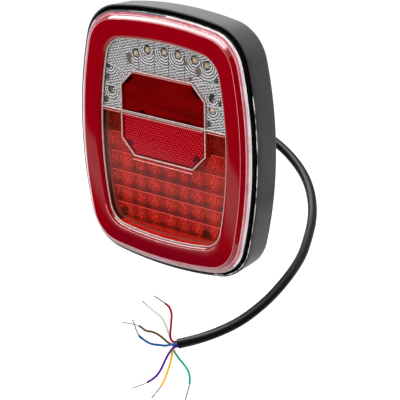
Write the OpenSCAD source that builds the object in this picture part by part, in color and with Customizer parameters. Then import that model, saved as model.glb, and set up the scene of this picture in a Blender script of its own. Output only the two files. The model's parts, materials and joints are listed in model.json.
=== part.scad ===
/* [Lamp body] */
// Width across the rim at half height
lamp_w = 169; // [164:1:174]
// Height of the rim at its middle
lamp_h = 198; // [194:1:204]
// How far the middle of each long side stands out past its ends
side_bulge = 17; // [14:1:20]
// How far the middle of the top and bottom stands out past its ends
end_bulge = 12; // [10:1:14]
// Radius of the rim's corners
corner_r = 34; // [30:1:36]
// Height of the housing rim above the rear face
rim_d = 24; // [23:0.5:25]
// Thickness of the housing's side wall
wall_t = 2.4; // [2:0.2:3]

/* [Lens] */
// Height of the window panes above the rear face
pane_d = 29; // [28.6:0.2:30]
// Height of the raised ring's crest above the rear face
crest_d = 32; // [31.4:0.2:33]
// Outer width of the raised ring
ring_w = 153; // [150:1:155]
// Outer height of the raised ring
ring_h = 184; // [181:1:186]
// Width of the window inside the ring
window_w = 118; // [114:1:122]
// Height of the window inside the ring
window_h = 150; // [146:1:154]
// Width of a weld bead between two lens colours
bead_w = 1.2; // [1:0.1:1.6]

/* [Octagon] */
// Width of the octagonal panel
octagon_w = 79; // [76:1:82]
// Height of the octagonal panel
octagon_h = 65; // [62:1:66]
// Side of the panel's cut corners
octagon_cut = 12; // [10:1:14]
// Height of the panel's middle above the lamp's middle
octagon_z = 17; // [15:1:19]

/* [Mounting] */
// Distance between the two studs
stud_spacing = 80; // [70:1:90]
// Radius of a stud
stud_r = 3; // [2.5:0.5:4]
// Length of a stud outside the rear face
stud_out = 20; // [16:1:30]

/* [Cable] */
// Diameter of the cable's sheath
cable_dia = 6.8; // [6:0.2:7.4]
// Diameter of a wire's insulation
wire_dia = 1.6; // [1.4:0.1:1.8]
// Diameter of a bared conductor
strand_dia = 0.9; // [0.7:0.1:1.1]
// Length of the gland's tapered sleeve
sleeve_l = 20; // [18:1:20]

/* [Hidden] */
$fn = 96;

// Outlines: [half width, half height, side bulge, end bulge, corner radius]
rim = [lamp_w / 2, lamp_h / 2, side_bulge, end_bulge, corner_r];
ring = [ring_w / 2, ring_h / 2, 14, 9.5, 28];
window = [window_w / 2, window_h / 2, 10, 7, 17];

// Facets in a quarter of an outline
side_steps = 6;
corner_steps = 9;
end_steps = 5;

// Heights above the rear face
back_d = 1.5;                  // outside of the recessed back wall
floor_d = back_d + 2.5;        // inside of the back wall
ledge_d = rim_d - 7;           // ledge that carries the lens
ledge_t = 2;
board_d = 11;
board_t = 1.6;
face_d = board_d + board_t;    // side of the board that carries the LEDs
tray_d = face_d + 2;
tray_t = 1.2;
lens_t = 2.6;                  // thickness of the window panes
lens_d = pane_d - lens_t;      // back of the window panes
plate_d = lens_d - 1;          // back of the clear lens under the ring
optic_d = plate_d - 4;         // back of the inner red optic
bead_d = pane_d + 0.4;

// Steps in from the rim to the parts of the lens
rim_t = 1.5;
skirt_in = 3.8;
skirt_t = 2.2;
ledge_in = 8;
board_in = 11;
foot_d = 1.2;                  // adhesive under the lens skirt
foot_in = 7.5;
fillet_d = 3.4;                // height of the adhesive in the groove

// LED places, [x, z]
cell_w = 14.4;
upper_z = 66;
led_w = 3.6;
led_t = 0.9;
dome_r = 1.3;
dome_t = 0.6;
indicator_at = concat([for (k = [-2:2]) [k * cell_w, upper_z]], [for (s = [-1, 1]) [s * 41, 60]]);
reversing_at = [for (s = [-1, 1], z = [32.5, 44]) [s * 47.5, z]];
stop_pitch_x = 13.6;
stop_pitch_z = 12.5;
stop_top_z = -24;
stop_rows = [for (k = [-3:3], j = [0:3]) if (abs(k) < 3 || j < 3) [k * stop_pitch_x, stop_top_z - j * stop_pitch_z]];
stop_at = concat(stop_rows, [for (s = [-1, 1]) [s * 46.5, -8]]);
fog_at = [for (k = [-2:2], z = [27, 39]) [k * 13, z]];
ring_pitch = 15;
ring_line = 8.6;               // distance of the ring's LEDs outside the window's edge
ring_side_x = side_c(window).x;
ring_side_r = side_r(window) + ring_line;
ring_end_z = end_c(window).y;
ring_end_r = end_r(window) + ring_line;
ring_at = concat(
    [for (s = [-1, 1], k = [-4:4]) [s * (ring_side_x + sqrt(pow(ring_side_r, 2) - pow(k * ring_pitch, 2))), k * ring_pitch]],
    [for (s = [-1, 1], k = [-3:3]) [k * ring_pitch, s * (ring_end_z + sqrt(pow(ring_end_r, 2) - pow(k * ring_pitch, 2)))]]
);

// Bosses, studs and the cable's way in
screw_at = [[-47.5, 21.5], [47.5, 21.5], [-39.5, -62.5], [39.5, -62.5]];
screw_r = 1.5;
screw_head_r = 2.8;
screw_head_t = 1.8;
screw_boss_r = 3.6;
screw_deep = 6;
stud_head_r = 5.8;
stud_neck_r = stud_r + 0.8;     // plain neck where the wall holds the stud
stud_head_d = floor_d + 1;
stud_head_t = 4;
stud_boss_r = 9.5;
stud_pad_r = 12;
gland_neck_r = 6.5;
gland_flange_r = 9;
gland_seat_r = 9.5;            // round seat that the outer flange is sunk in
gland_pad_r = 13;
gland_tip_r = 4.6;
gland_ribs = 5;
gland_flange_t = 1.5;
vent_at = [0, -52];
vent_r = 4;
vent_cap_r = 6;
pin_pitch = 2.6;
pin_r = 0.4;

// Free cable: it leaves the gland straight back, turns to the side and comes down past the lamp
cable_route = [
    [0, sleeve_l, 0], [0, 27, 0], [0, 34, -1], [4, 47, -4], [13.5, 57, -8], [27, 61.5, -13],
    [41, 61, -19], [54, 58, -25], [66, 53, -31], [77, 46, -37], [86, 37.5, -43], [94, 28, -49],
    [102, 15, -55], [108, 2, -60], [114, -11, -65], [118, -25, -69], [122, -40, -72],
    [124, -55, -76], [126, -70, -79], [126, -85, -82], [125, -100, -85], [121, -115, -87],
    [114, -128, -90], [103, -138, -93]
];
cable_end = cable_route[len(cable_route) - 1];
end_way = unit(cable_end - cable_route[len(cable_route) - 2]);
end_side = unit(cross(end_way, [0, 0, 1]));
end_up = cross(end_side, end_way);
core_pitch = 1.9;
core_out = 2;
// First two points of a wire: one core in the middle of the cut face and six round it
function lead_in(angle, out = core_pitch) =
    let (start = cable_end + out * (cos(angle) * end_side + sin(angle) * end_up))
    [start, start + core_out * end_way];
// Each wire from the sheath's cut end; the last point is the end of its bared conductor
red_route = concat(lead_in(90), [
    [100, -140.6, -90.4], [99.1, -140.8, -88], [98.6, -140, -84], [98.5, -139, -78],
    [98.5, -138.5, -72], [97, -139, -67.5], [95, -141, -64.5], [90, -146.5, -58.5]
]);
white_route = concat(lead_in(30), [
    [98.9, -138.9, -91.7], [97.2, -138.8, -89.6], [94, -137.6, -85.8], [90, -136.2, -81.2],
    [86, -135.5, -78.2], [79.5, -135.5, -75.5], [69.5, -135, -71.5]
]);
brown_route = concat(lead_in(0, 0), [
    [99.8, -140.3, -93.4], [97, -140.9, -92.6], [93, -140.7, -91], [88.5, -140.6, -89.4],
    [83.5, -141, -88.5], [78.5, -142, -88.5], [72, -141.5, -87], [58.5, -142.5, -87.5]
]);
blue_route = concat(lead_in(150), [
    [101, -142.5, -92.6], [99, -146, -92.5], [97, -150.5, -91],
    [95, -155.5, -89], [93.5, -160, -85.5], [92, -164.5, -80.5], [93, -171.5, -66.5]
]);
violet_route = concat(lead_in(210), [
    [101.8, -141.9, -95.3], [101, -144, -97.5], [100.2, -147.2, -101.5],
    [99.8, -151, -106.5], [99, -155.5, -111], [96, -162, -114.5], [90.5, -171.5, -117]
]);
yellow_route = concat(lead_in(270), [
    [101, -140.2, -96.6], [101, -141.5, -99.2], [101.7, -143.6, -103],
    [102.5, -147, -107.5], [103, -151.5, -113], [102.5, -155.5, -118], [100.5, -163, -124.5]
]);
green_route = concat(lead_in(330), [
    [99.6, -138.5, -95.6], [99.8, -138.4, -98], [101.5, -137.8, -101.6], [104.8, -137.2, -105.2],
    [108.5, -136.6, -108.8], [111, -136, -113.5], [112, -137, -120.5], [110.5, -140, -131.5]
]);
// A direction that no wire runs along, to set the wires' rings by
fan_axis = [-0.6, 0.73, -0.34];
cable_axis = [0, 0, 1];

// Circles behind an outline: two flat side arcs, two flat end arcs and four corner circles
function unit(v) = v / norm(v);
function side_r(o) = (o[1] * o[1] + o[2] * o[2]) / (2 * o[2]);
function end_r(o) = (o[0] * o[0] + o[3] * o[3]) / (2 * o[3]);
function side_c(o) = [o[0] - side_r(o), 0];
function end_c(o) = [0, o[1] - end_r(o)];
function corner_c(o) =
    let (a = side_c(o), b = end_c(o), ra = side_r(o) - o[4], rb = end_r(o) - o[4])
    let (d = norm(b - a), e = (b - a) / d, t = (ra * ra - rb * rb + d * d) / (2 * d))
    a + e * t + [-e.y, e.x] * sqrt(ra * ra - t * t);

// Points of an arc about c from angle a to angle b
function arc(c, r, a, b, n) = [for (i = [0:n]) let (t = a + (b - a) * i / n) c + r * [cos(t), sin(t)]];
function joined(a, b) = [for (i = [0:len(a) + len(b) - 2]) i < len(a) ? a[i] : b[i - len(a) + 1]];

// Quarter of the outline, from the middle of the right side to the middle of the top, moved in by g
function quarter(o, g) =
    let (f = corner_c(o), p = f - side_c(o), q = f - end_c(o), pa = atan2(p.y, p.x), qa = atan2(q.y, q.x))
    joined(
        arc(side_c(o), side_r(o) - g, 0, pa, side_steps),
        joined(arc(f, o[4] - g, pa, qa, corner_steps), arc(end_c(o), end_r(o) - g, qa, 90, end_steps))
    );

// Bulged rectangle with rounded corners, moved in by g all round
module outline(o, g = 0) {
    a = quarter(o, g);
    n = len(a) - 1;
    polygon(concat(
        [for (i = [0:n]) a[i]],
        [for (i = [n - 1:-1:0]) [-a[i].x, a[i].y]],
        [for (i = [1:n]) -a[i]],
        [for (i = [n - 1:-1:1]) [a[i].x, -a[i].y]]
    ));
}

// Octagonal panel, moved in by g all round
module octagon(g = 0) {
    w = octagon_w / 2 - g;
    h = octagon_h / 2 - g;
    c = octagon_cut - g * (2 - sqrt(2));
    translate([0, octagon_z]) polygon([
        [w, h - c], [w - c, h], [c - w, h], [-w, h - c],
        [-w, c - h], [c - w, -h], [w - c, -h], [w, c - h]
    ]);
}

// Everything above (1) or below (-1) the line where the clear and red lenses meet
module half_plane(side) {
    edge = octagon_z + side * bead_w / 2;
    translate([-lamp_w, side > 0 ? edge : edge - lamp_h]) square([2 * lamp_w, lamp_h]);
}

// Flat piece with the outline given, from d0 to d1 in front of the rear face
module slab(d0, d1) {
    translate([0, -d0, 0]) rotate([90, 0, 0]) linear_extrude(d1 - d0) children();
}

// Round rod along the lamp's depth
module rod(r, d0, d1) {
    translate([0, -d0, 0]) rotate([90, 0, 0]) cylinder(r = r, h = d1 - d0);
}

// Copies of a child at places [x, z]
module at(places) {
    for (p = places) translate([p.x, 0, p.y]) children();
}

// Block between two corners, x and z centred, from d0 to d1
module block(w, h, d0, d1) {
    translate([-w / 2, -d1, -h / 2]) cube([w, d1 - d0, h]);
}

// One LED: a flat package with a small dome
module led() {
    block(led_w, led_w, face_d, face_d + led_t);
    rod(dome_r, face_d + led_t, face_d + led_t + dome_t);
}

// Concentric ridges of a prism optic
module prism_rings(radii, d0, d1) {
    ridge_w = 0.6;
    for (r = radii) {
        translate([0, -d0, 0]) rotate([90, 0, 0]) rotate_extrude() {
            translate([r, 0]) square([ridge_w, d1 - d0]);
        }
    }
}

// Tube along part of a route, one ring of n corners at each point
function along(p, i) = unit(p[min(i + 1, len(p) - 1)] - p[max(i - 1, 0)]);
function tube_ring(p, i, r, n, up) =
    let (t = along(p, i), u = unit(cross(t, up)), v = cross(u, t))
    [for (k = [0:n - 1]) p[i] + r * (cos(360 * k / n) * u + sin(360 * k / n) * v)];
module tube(p, first, last, dia, n, up) {
    top = (last - first) * n;
    sides = [
        for (i = [0:last - first - 1], k = [0:n - 1], half = [0, 1])
            let (a = i * n + k, b = i * n + (k + 1) % n)
            half == 0 ? [a, b, b + n] : [a, b + n, a + n]
    ];
    caps = [[for (k = [n - 1:-1:0]) k], [for (k = [0:n - 1]) top + k]];
    polyhedron(points = [for (i = [first:last]) each tube_ring(p, i, dia / 2, n, up)], faces = concat(sides, caps));
}

// Moulded tub: rounded back edge, recessed back with ribs and pads, ledge and groove for the lens
module rear_housing() {
    edge_steps = [[0, 2.2], [0.5, 1.3], [1.2, 0.6], [2.2, 0]];
    rib_w = 2.4;
    frame_in = 9;
    color([0.27, 0.27, 0.28]) difference() {
        union() {
            difference() {
                for (s = edge_steps) slab(s[0], rim_d) outline(rim, s[1]);
                slab(floor_d, ledge_d - ledge_t) outline(rim, wall_t);
                slab(ledge_d - ledge_t - 1, ledge_d + 1) outline(rim, ledge_in);
                slab(ledge_d, rim_d + 1) outline(rim, rim_t);
                slab(-1, back_d) difference() {
                    outline(rim, frame_in);
                    for (s = [-1, 1]) translate([s * stud_spacing / 2, 0]) circle(stud_pad_r);
                    for (s = [-1, 0, 1]) translate([s * stud_spacing / 2 - rib_w / 2, -lamp_h / 2]) square([rib_w, lamp_h]);
                    for (s = [-1, 0, 1]) translate([-lamp_w / 2, s * 52 - rib_w / 2]) square([lamp_w, rib_w]);
                    circle(gland_pad_r);
                    translate(vent_at) circle(vent_cap_r + 2);
                }
            }
            at([[-stud_spacing / 2, 0], [stud_spacing / 2, 0]]) rod(stud_boss_r, floor_d - 1, stud_head_d + stud_head_t);
            at(screw_at) rod(screw_boss_r, floor_d - 1, board_d);
        }
        at([[-stud_spacing / 2, 0], [stud_spacing / 2, 0]]) {
            rod(stud_neck_r, -1, stud_head_d + 1);
            translate([0, -stud_head_d, 0]) rotate([90, 0, 0]) cylinder(r = stud_head_r, h = stud_head_t + 1, $fn = 6);
        }
        at(screw_at) rod(screw_r, board_d - screw_deep, board_d + 1);
        rod(gland_neck_r, -1, floor_d + 1);
        rod(gland_seat_r, -1, back_d);
        at([vent_at]) rod(vent_r, -1, floor_d + 1);
        at([vent_at]) rod(vent_cap_r, -1, back_d);
    }
}

// Two threaded studs: hexagonal heads held in the bosses, a plain neck in the wall, and the thread
module mounting_studs() {
    tip_l = 1;
    tip_r = stud_r - 0.6;
    color([0.72, 0.72, 0.7]) at([[-stud_spacing / 2, 0], [stud_spacing / 2, 0]]) {
        translate([0, -stud_head_d, 0]) rotate([90, 0, 0]) cylinder(r = stud_head_r, h = stud_head_t, $fn = 6);
        rod(stud_neck_r, 0, stud_head_d);
        rod(stud_r, tip_l - stud_out, 0);
        translate([0, stud_out - tip_l, 0]) rotate([-90, 0, 0]) cylinder(r1 = stud_r, r2 = tip_r, h = tip_l);
    }
}

// Rubber gland: inner flange, neck, outer flange and a ribbed tapered sleeve
module cable_gland() {
    sleeve_r = 6.8;
    groove = 0.6;
    sleeve_start = gland_flange_t - back_d;
    rib_l = (sleeve_l - sleeve_start) / (2 * gland_ribs);
    bore_r = cable_dia / 2;
    function taper(y) = sleeve_r + (gland_tip_r - sleeve_r) * (y - sleeve_start) / (sleeve_l - sleeve_start);
    ribs = [
        for (k = [0:gland_ribs - 1], e = [0:3])
            let (y = sleeve_start + 2 * k * rib_l + (e > 1 ? rib_l : 0) + (e % 2 ? rib_l : 0))
            [taper(y) - (e > 1 ? groove : 0), y]
    ];
    color([0.09, 0.09, 0.09]) rotate([-90, 0, 0]) rotate_extrude() polygon(concat(
        [
            [bore_r, -floor_d - gland_flange_t], [gland_flange_r, -floor_d - gland_flange_t],
            [gland_flange_r, -floor_d], [gland_neck_r, -floor_d], [gland_neck_r, -back_d],
            [gland_flange_r, -back_d], [gland_flange_r, sleeve_start]
        ],
        ribs,
        [[bore_r, sleeve_l]]
    ));
}

// Cable between the gland's tip and the board
module inner_cable() {
    color([0.07, 0.07, 0.07]) rod(cable_dia / 2, -sleeve_l, board_d - 2);
}

// Cable tie that stops the cable from being pulled out
module cable_tie() {
    band_r = cable_dia / 2 + 1.4;
    band_d0 = floor_d + gland_flange_t + 0.3;
    band_d1 = board_d - 2.2;
    color([0.85, 0.85, 0.82]) difference() {
        union() {
            rod(band_r, band_d0, band_d1);
            translate([band_r, 0, 0]) block(4.5, 4, band_d0, band_d1);
        }
        rod(cable_dia / 2, band_d0 - 1, band_d1 + 1);
    }
}

// Seven-way terminal on the back of the board
module wire_terminal() {
    ways = 3;
    color([0.9, 0.9, 0.88]) {
        block(22, 9, board_d - 2, board_d);
        at([for (k = [-ways:ways]) [k * pin_pitch, 0]]) rod(pin_r, board_d, face_d + 1);
    }
}

// Breather plug in the back wall
module vent_plug() {
    color([0.15, 0.15, 0.15]) at([vent_at]) {
        rod(vent_cap_r, back_d - 1, back_d);
        rod(vent_r, back_d, floor_d);
        rod(vent_cap_r, floor_d, floor_d + 1);
    }
}

module circuit_board() {
    color([0.92, 0.93, 0.92]) difference() {
        slab(board_d, face_d) outline(rim, board_in);
        at(screw_at) rod(screw_r, board_d - 1, face_d + 1);
        at([for (k = [-3:3]) [k * pin_pitch, 0]]) rod(pin_r, board_d - 1, face_d + 1);
    }
}

// Cross-head screws that hold the board on its bosses
module board_screws() {
    slot_w = 0.7;
    slot_l = 3;
    color([0.75, 0.75, 0.73]) at(screw_at) difference() {
        union() {
            rod(screw_r, board_d - screw_deep, face_d);
            rod(screw_head_r, face_d, face_d + screw_head_t);
        }
        block(slot_l, slot_w, face_d + screw_head_t - 1, face_d + screw_head_t + 1);
        block(slot_w, slot_l, face_d + screw_head_t - 1, face_d + screw_head_t + 1);
    }
}

module indicator_leds() {
    color([0.95, 0.75, 0.3]) at(indicator_at) led();
}

module reversing_leds() {
    color([0.95, 0.9, 0.6]) at(reversing_at) led();
}

module stop_tail_leds() {
    color([0.9, 0.35, 0.3]) at(stop_at) led();
}

module fog_leds() {
    color([0.9, 0.3, 0.25]) at(fog_at) led();
}

module ring_leds() {
    color([0.9, 0.4, 0.35]) at(ring_at) led();
}

// Chip resistors along the top and bottom of the driver area
module resistors() {
    color([0.12, 0.12, 0.14]) at([for (s = [-1, 1], k = [0:4], z = [-13, 17]) [s * (11 + 5 * k), z]]) {
        block(1.6, 3.2, face_d, face_d + 0.6);
    }
}

// Driver chips with four legs on each side
module driver_chips() {
    leg_pitch = 1.27;
    color([0.1, 0.1, 0.1]) at([[-27, 4], [27, 4], [0, 9]]) {
        block(4, 5, face_d + 0.1, face_d + 1.7);
        for (s = [-1, 1], k = [-1.5:1.5]) {
            translate([s * 2.6, 0, k * leg_pitch]) block(1.2, 0.45, face_d, face_d + 0.4);
        }
    }
}

module capacitors() {
    color([0.2, 0.22, 0.3]) at([[-15, -5], [15, -5]]) {
        block(8.6, 8.6, face_d, face_d + 1);
        rod(4, face_d + 1, face_d + 8);
    }
}

// White tray: floor with a hole for each LED, outer wall, octagon wall and cell dividers
module reflector_tray() {
    wall = 1.4;
    hole_r = 2.8;
    divider_w = 1;
    color([0.86, 0.87, 0.88]) difference() {
        union() {
            slab(tray_d, tray_d + tray_t) outline(window, 0.6);
            slab(tray_d, plate_d) difference() {
                outline(window, 0.6);
                outline(window, 0.6 + wall);
            }
            slab(tray_d, optic_d) difference() {
                octagon(-wall / 2);
                octagon(wall / 2);
            }
            slab(tray_d, plate_d) intersection() {
                outline(window, 1);
                translate([0, octagon_z + octagon_h / 2]) {
                    for (s = [-1, 1], k = [0.5, 1.5]) translate([s * k * cell_w - divider_w / 2, 0]) square([divider_w, lamp_h]);
                }
            }
        }
        at(concat(indicator_at, reversing_at, stop_at, fog_at)) rod(hole_r, tray_d - 1, tray_d + tray_t + 1);
        slab(tray_d - 1, tray_d + tray_t + 1) intersection() {
            octagon(wall);
            half_plane(-1);
        }
    }
}

// Clear bar that carries the light of the ring's LEDs up to the ring
module ring_light_guide() {
    color([0.93, 0.93, 0.93]) slab(tray_d + 0.4, plate_d) difference() {
        outline(window, -12);
        outline(window, -5);
    }
}

// Red prism plate under the lower window
module lower_optic() {
    color([0.85, 0.16, 0.12]) {
        slab(optic_d, optic_d + 2) intersection() {
            difference() {
                outline(window, 2.2);
                octagon(-1);
            }
            half_plane(-1);
        }
        at(stop_rows) prism_rings([1.6, 3.2, 4.8], optic_d + 2, optic_d + 2.6);
    }
}

// A window pane between the window bead and the octagon, on one side of the middle line
module pane(side) {
    slab(lens_d, pane_d) intersection() {
        difference() {
            outline(window, bead_w / 2);
            octagon(-bead_w / 2);
        }
        half_plane(side);
    }
}

module upper_lens() {
    color([0.82, 0.84, 0.86]) {
        pane(1);
        at(concat(indicator_at, reversing_at)) prism_rings([1.8, 3.4, 5], plate_d + 0.2, lens_d);
    }
}

module lower_lens() {
    color([0.75, 0.05, 0.05]) pane(-1);
}

module fog_lens() {
    color([0.5, 0, 0.02]) slab(lens_d, pane_d) intersection() {
        octagon(bead_w / 2);
        half_plane(1);
    }
}

module reflex_reflector() {
    color([0.72, 0, 0.05]) slab(lens_d - 1, pane_d) intersection() {
        octagon(bead_w / 2);
        half_plane(-1);
    }
}

// Sealed cup that keeps the back of the reflex reflector dry
module reflex_backing() {
    wall = 1.2;
    depth = 3;
    color([0.2, 0.2, 0.2]) difference() {
        slab(lens_d - 1 - depth, lens_d - 1) intersection() {
            octagon(1.6);
            half_plane(-1);
        }
        slab(lens_d - 1 - depth + wall, lens_d) intersection() {
            octagon(1.6 + wall);
            translate([0, -wall]) half_plane(-1);
        }
    }
}

// Weld bead round the octagon and along the middle line
module divider_bead() {
    color([0.72, 0.64, 0.6]) slab(lens_d, bead_d) {
        difference() {
            octagon(-bead_w / 2);
            octagon(bead_w / 2);
        }
        intersection() {
            outline(window, bead_w / 2);
            translate([-lamp_w / 2, octagon_z - bead_w / 2]) square([lamp_w, bead_w]);
        }
    }
}

// Weld bead round the window
module window_bead() {
    color([0.72, 0.64, 0.6]) slab(lens_d, bead_d) difference() {
        outline(window, -bead_w / 2);
        outline(window, bead_w / 2);
    }
}

// Raised red ring, crowned in three steps
module ring_lens() {
    steps = [[lens_d + 1, bead_w / 2, 0], [bead_d + 0.2, bead_w, 0.7], [crest_d - 1, 2.4, 1.8]];
    tops = [bead_d + 0.2, crest_d - 1, crest_d];
    color([0.6, 0, 0.05]) for (i = [0:2]) {
        slab(steps[i][0], tops[i]) difference() {
            outline(ring, steps[i][2]);
            outline(window, -steps[i][1]);
        }
    }
}

// Clear lens: plate under the ring, border round it and skirt down into the groove
module border_lens() {
    shoulder = [[plate_d, skirt_in, lens_d + 0.4], [lens_d + 0.4, skirt_in + 0.6, lens_d + 1.4], [lens_d + 1.4, skirt_in + 1.4, pane_d - 0.4]];
    color([0.88, 0.82, 0.82]) {
        slab(plate_d, lens_d + 1) difference() {
            outline(rim, skirt_in + 1);
            outline(window, -bead_w / 2);
        }
        for (s = shoulder) slab(s[0], s[2]) difference() {
            outline(rim, s[1]);
            outline(ring);
        }
        slab(ledge_d + foot_d, plate_d) difference() {
            outline(rim, skirt_in);
            outline(rim, skirt_in + skirt_t);
        }
    }
}

// Adhesive on the ledge and in the groove outside the skirt
module adhesive_bead() {
    color([0.04, 0.04, 0.04]) {
        slab(ledge_d, ledge_d + foot_d) difference() {
            outline(rim, rim_t);
            outline(rim, foot_in);
        }
        slab(ledge_d + foot_d, ledge_d + fillet_d) difference() {
            outline(rim, rim_t);
            outline(rim, skirt_in);
        }
    }
}

module cable_sheath() {
    color([0.08, 0.08, 0.08]) tube(cable_route, 0, len(cable_route) - 1, cable_dia, 12, cable_axis);
}

module wire(route) {
    tube(route, 0, len(route) - 2, wire_dia, 8, fan_axis);
}

module tip(route) {
    color([0.75, 0.72, 0.68]) tube(route, len(route) - 2, len(route) - 1, strand_dia, 8, fan_axis);
}

module wire_red() { color([0.65, 0.08, 0.15]) wire(red_route); }
module wire_white() { color([0.93, 0.93, 0.92]) wire(white_route); }
module wire_brown() { color([0.3, 0.19, 0.07]) wire(brown_route); }
module wire_blue() { color([0.05, 0.25, 0.5]) wire(blue_route); }
module wire_violet() { color([0.35, 0.08, 0.5]) wire(violet_route); }
module wire_yellow() { color([0.9, 0.72, 0.25]) wire(yellow_route); }
module wire_green() { color([0.1, 0.62, 0.55]) wire(green_route); }
module tip_red() { tip(red_route); }
module tip_white() { tip(white_route); }
module tip_brown() { tip(brown_route); }
module tip_blue() { tip(blue_route); }
module tip_violet() { tip(violet_route); }
module tip_yellow() { tip(yellow_route); }
module tip_green() { tip(green_route); }

rear_housing();
mounting_studs();
cable_gland();
inner_cable();
cable_tie();
wire_terminal();
vent_plug();
circuit_board();
board_screws();
indicator_leds();
reversing_leds();
stop_tail_leds();
fog_leds();
ring_leds();
resistors();
driver_chips();
capacitors();
reflector_tray();
ring_light_guide();
lower_optic();
upper_lens();
lower_lens();
fog_lens();
reflex_reflector();
reflex_backing();
divider_bead();
window_bead();
ring_lens();
border_lens();
adhesive_bead();
cable_sheath();
wire_red();
wire_white();
wire_brown();
wire_blue();
wire_violet();
wire_yellow();
wire_green();
tip_red();
tip_white();
tip_brown();
tip_blue();
tip_violet();
tip_yellow();
tip_green();
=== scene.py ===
import json
import math
import bpy
import numpy as np
from mathutils import Matrix, Vector


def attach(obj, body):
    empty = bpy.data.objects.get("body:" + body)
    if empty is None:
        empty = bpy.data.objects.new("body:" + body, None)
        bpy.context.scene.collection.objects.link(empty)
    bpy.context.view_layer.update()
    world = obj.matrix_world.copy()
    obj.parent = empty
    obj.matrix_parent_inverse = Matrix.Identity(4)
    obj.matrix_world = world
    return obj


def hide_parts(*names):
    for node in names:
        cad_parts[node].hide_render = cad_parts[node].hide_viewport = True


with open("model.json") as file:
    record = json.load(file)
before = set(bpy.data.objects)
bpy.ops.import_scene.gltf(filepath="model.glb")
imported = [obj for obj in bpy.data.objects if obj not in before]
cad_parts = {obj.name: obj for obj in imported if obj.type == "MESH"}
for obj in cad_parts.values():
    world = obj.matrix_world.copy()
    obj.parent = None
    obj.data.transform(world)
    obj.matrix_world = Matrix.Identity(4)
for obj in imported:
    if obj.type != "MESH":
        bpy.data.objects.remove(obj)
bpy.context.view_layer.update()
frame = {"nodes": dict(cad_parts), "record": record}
scene = bpy.context.scene
record_slots = {s["node"]: s["material_slot"] for s in frame["record"]["subparts"]}


# ---- camera
# Straight look at the lamp from the right and above, with a long lens and a slight roll.
camera_at = (0.8533, -1.0269, 0.4322)
camera_roll = math.radians(-0.668)
view = Vector((-0.59621, 0.72654, -0.34156)).normalized()
level = Vector((0.77303, 0.63437, 0)).normalized()
upright = level.cross(view).normalized()
right = level * math.cos(camera_roll) + upright * math.sin(camera_roll)
upward = upright * math.cos(camera_roll) - level * math.sin(camera_roll)
cam_data = bpy.data.cameras.new("camera")
cam = bpy.data.objects.new("camera", cam_data)
scene.collection.objects.link(cam)
cam.matrix_world = Matrix((
    (right.x, upward.x, -view.x, camera_at[0]),
    (right.y, upward.y, -view.y, camera_at[1]),
    (right.z, upward.z, -view.z, camera_at[2]),
    (0, 0, 0, 1),
))
cam_data.sensor_width = 36
cam_data.lens = 170.7
cam_data.clip_end = 60
scene.camera = cam


# ---- materials
def link(nt, a, b):
    nt.links.new(a, b)


def fill(node, **values):
    """Set a node's inputs by their names, with _ for each space."""
    for name, value in values.items():
        node.inputs[name.replace("_", " ")].default_value = value
    return node


def add(nt, kind, **values):
    return fill(nt.nodes.new("ShaderNode" + kind), **values)


def maths(nt, operation, second, third=0.0):
    node = add(nt, "Math")
    node.operation = operation
    node.inputs[1].default_value = second
    node.inputs[2].default_value = third
    return node


def noise_node(nt, scale, detail=3.0, stretch=(1, 1, 1)):
    """Noise in the object's own metres, stretched where stretch is below 1."""
    mapping = add(nt, "Mapping", Scale=stretch)
    noise = add(nt, "TexNoise", Scale=scale, Detail=detail, Roughness=0.55)
    link(nt, add(nt, "TexCoord").outputs["Object"], mapping.inputs["Vector"])
    link(nt, mapping.outputs["Vector"], noise.inputs["Vector"])
    return noise.outputs["Fac"]


def colour_ramp(nt, share, stops):
    """Colour between stops, each a place from 0 to 1 and a colour."""
    ramp = add(nt, "ValToRGB")
    elements = ramp.color_ramp.elements
    for k, (at, colour) in enumerate(stops):
        stop = elements[k] if k < 2 else elements.new(at)
        stop.position = at
        stop.color = (*colour, 1)
    link(nt, share, ramp.inputs["Fac"])
    return ramp.outputs["Color"]


def ranged(nt, share, **limits):
    """Number carried from one range to another, each range 0 to 1 where limits doesn't say."""
    node = add(nt, "MapRange", **limits)
    link(nt, share, node.inputs["Value"])
    return node.outputs["Result"]


def object_axes(nt):
    axes = add(nt, "SeparateXYZ")
    link(nt, add(nt, "TexCoord").outputs["Object"], axes.inputs["Vector"])
    return axes.outputs


def plastic(name, low, high, rough, scale=900, bump=0.0, bump_scale=2500, metallic=0.0, spec=0.5,
            coat=0.0, stretch=(1, 1, 1)):
    """Principled material: its colour runs between low and high, its roughness between rough's two values."""
    material = bpy.data.materials.new(name)
    material.use_nodes = True
    nt = material.node_tree
    shader = nt.nodes["Principled BSDF"]
    grain = noise_node(nt, scale, stretch=stretch)
    link(nt, colour_ramp(nt, grain, ((0.3, low), (0.7, high))), shader.inputs["Base Color"])
    link(nt, ranged(nt, grain, To_Min=rough[0], To_Max=rough[1]), shader.inputs["Roughness"])
    fill(shader, Metallic=metallic, Specular_IOR_Level=spec)
    if coat:
        fill(shader, Coat_Weight=coat, Coat_Roughness=0.04)
    if bump:
        dimples = add(nt, "Bump", Strength=0.35, Distance=bump)
        link(nt, noise_node(nt, bump_scale, detail=2), dimples.inputs["Height"])
        link(nt, dimples.outputs["Normal"], shader.inputs["Normal"])
    material.diffuse_color = (*low, 1)
    return material


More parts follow.
